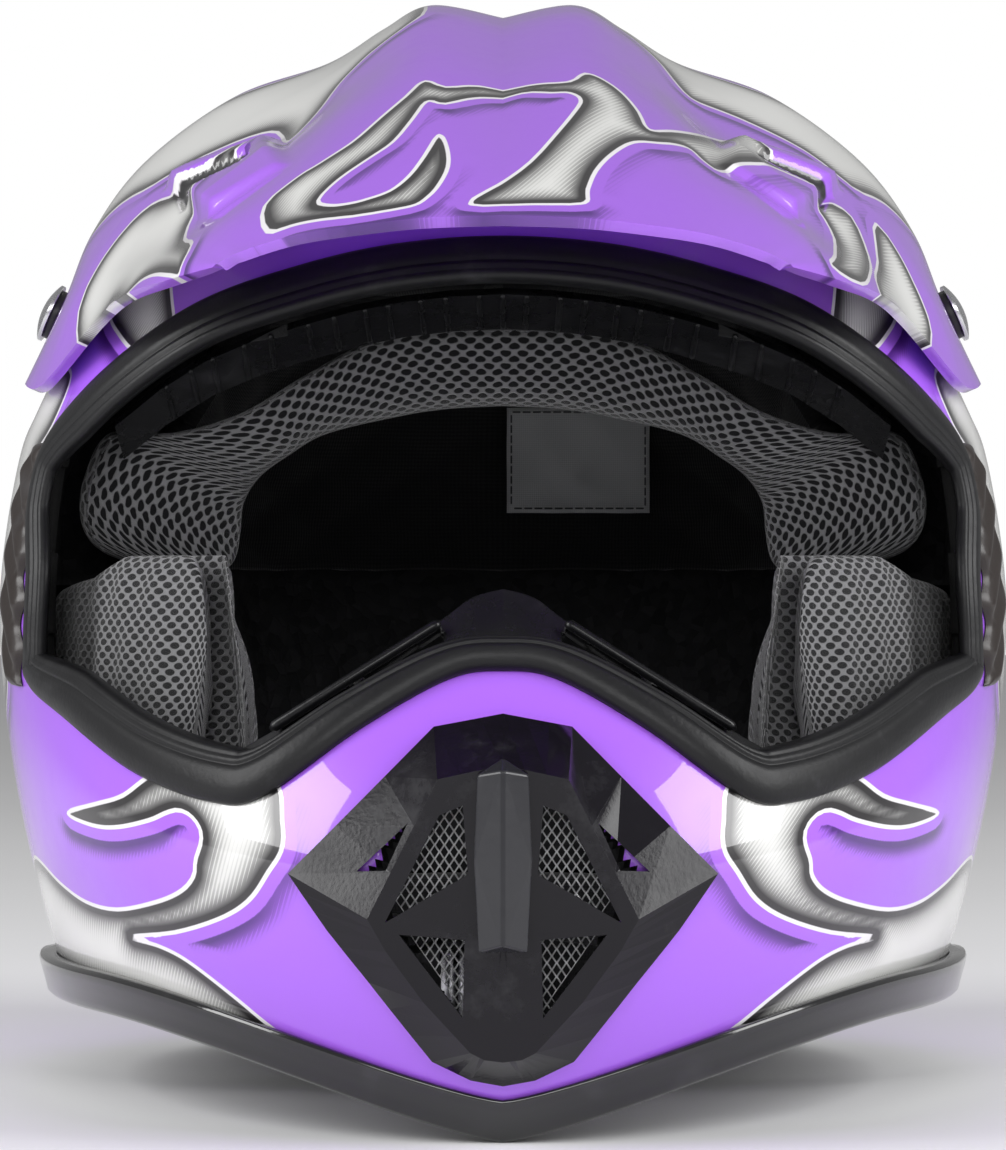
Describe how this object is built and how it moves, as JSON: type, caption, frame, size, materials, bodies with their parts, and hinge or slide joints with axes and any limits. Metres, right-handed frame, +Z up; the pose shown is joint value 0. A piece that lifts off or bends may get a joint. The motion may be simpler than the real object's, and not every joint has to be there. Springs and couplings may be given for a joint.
{
  "type": "motocross helmet",
  "caption": "Full-face off-road helmet with a tilting peak, an open eyeport for goggles, a faceted mouth vent, a padded liner and a chin strap with D-rings.",
  "frame": {"origin": "on the table under the middle of the helmet's length and width, with the chin's lower rim and the neck roll resting at z = 0", "axes": "+Z up, -Y the way the wearer looks, +X the wearer's left"},
  "size_m": [0.2508, 0.32, 0.2637],
  "materials": {
    "shell_paint": "glossy lacquered purple with pale flame graphics under a clear coat",
    "peak_paint": "glossy lacquered purple with pale flame graphics",
    "black_foam": "moulded bead foam, black",
    "gasket_rubber": "satin moulded rubber",
    "black_plastic": "fine grained moulded plastic",
    "grip_rubber": "satin moulded rubber with wavy ribs",
    "trim_black": "glossy black edge trim",
    "screw_metal": "turned and polished",
    "insert_brass": "knurled",
    "washer_nylon": "satin nylon",
    "vent_plastic": "satin faceted moulding",
    "spine_plastic": "polished and scuffed",
    "vent_mesh_metal": "bright expanded mesh",
    "air_mesh_fabric": "grey three-layer air mesh",
    "black_fabric": "brushed black lining",
    "label_fabric": "blank woven label",
    "webbing": "woven polyester webbing",
    "ring_steel": "bent and welded wire"
  },
  "bodies": {
    "helmet": {"outer_shell": "shell_paint", "eps_liner": "black_foam", "chin_bar_foam": "black_foam", "eyeport_gasket": "gasket_rubber", "nose_guard": "black_plastic", "brow_vent_strip": "black_plastic", "side_grip_left": "grip_rubber", "side_grip_right": "grip_rubber", "base_trim": "trim_black", "visor_washer_left": "washer_nylon", "visor_washer_right": "washer_nylon", "visor_washer_top": "washer_nylon", "visor_inserts": "insert_brass", "mouth_vent_cover": "vent_plastic", "mouth_vent_spine": "spine_plastic", "mouth_vent_mesh": "vent_mesh_metal", "rear_vent_grilles": "black_plastic", "crown_liner": "black_fabric", "forehead_pad": "air_mesh_fabric", "cheek_pad_left": "air_mesh_fabric", "cheek_pad_right": "air_mesh_fabric", "cheek_core_left": "black_foam", "cheek_core_right": "black_foam", "neck_roll": "black_fabric", "liner_snaps": "black_plastic", "care_label": "label_fabric", "chin_strap_left": "webbing", "chin_strap_right": "webbing", "strap_anchor_plates": "ring_steel", "strap_rivets": "ring_steel", "strap_snap_stud": "ring_steel", "strap_snap_cap": "black_plastic"},
    "visor": {"visor": "peak_paint"},
    "visor_screw_left": {"visor_screw_left": "screw_metal"},
    "visor_screw_right": {"visor_screw_right": "screw_metal"},
    "visor_screw_top": {"visor_screw_top": "screw_metal"},
    "d_ring_inner": {"d_ring_inner": "ring_steel"},
    "d_ring_outer": {"d_ring_outer": "ring_steel"}
  },
  "joints": [
    {"name": "visor_tilt", "type": "hinge", "parent": "helmet", "child": "visor", "pos_m": [0, 0.01, 0.1875], "axis": [1, 0, 0], "range_deg": [-4.5, 4.5]},
    {"name": "visor_screw_left_turn", "type": "hinge", "parent": "helmet", "child": "visor_screw_left", "pos_m": [-0.109, 0.01, 0.188], "axis": [-0.9063, 0, 0.4226], "continuous": true},
    {"name": "visor_screw_right_turn", "type": "hinge", "parent": "helmet", "child": "visor_screw_right", "pos_m": [0.109, 0.01, 0.188], "axis": [0.9063, 0, 0.4226], "continuous": true},
    {"name": "visor_screw_top_turn", "type": "hinge", "parent": "helmet", "child": "visor_screw_top", "pos_m": [0, 0.01, 0.1875], "axis": [0, -0.0344, 0.9994], "continuous": true},
    {"name": "d_ring_inner_swing", "type": "hinge", "parent": "helmet", "child": "d_ring_inner", "pos_m": [-0.0131, -0.022, 0.034], "axis": [0, 1, 0], "range_deg": [0, 25]},
    {"name": "d_ring_outer_swing", "type": "hinge", "parent": "helmet", "child": "d_ring_outer", "pos_m": [-0.0089, -0.022, 0.034], "axis": [0, 1, 0], "range_deg": [-25, 0]}
  ]
}
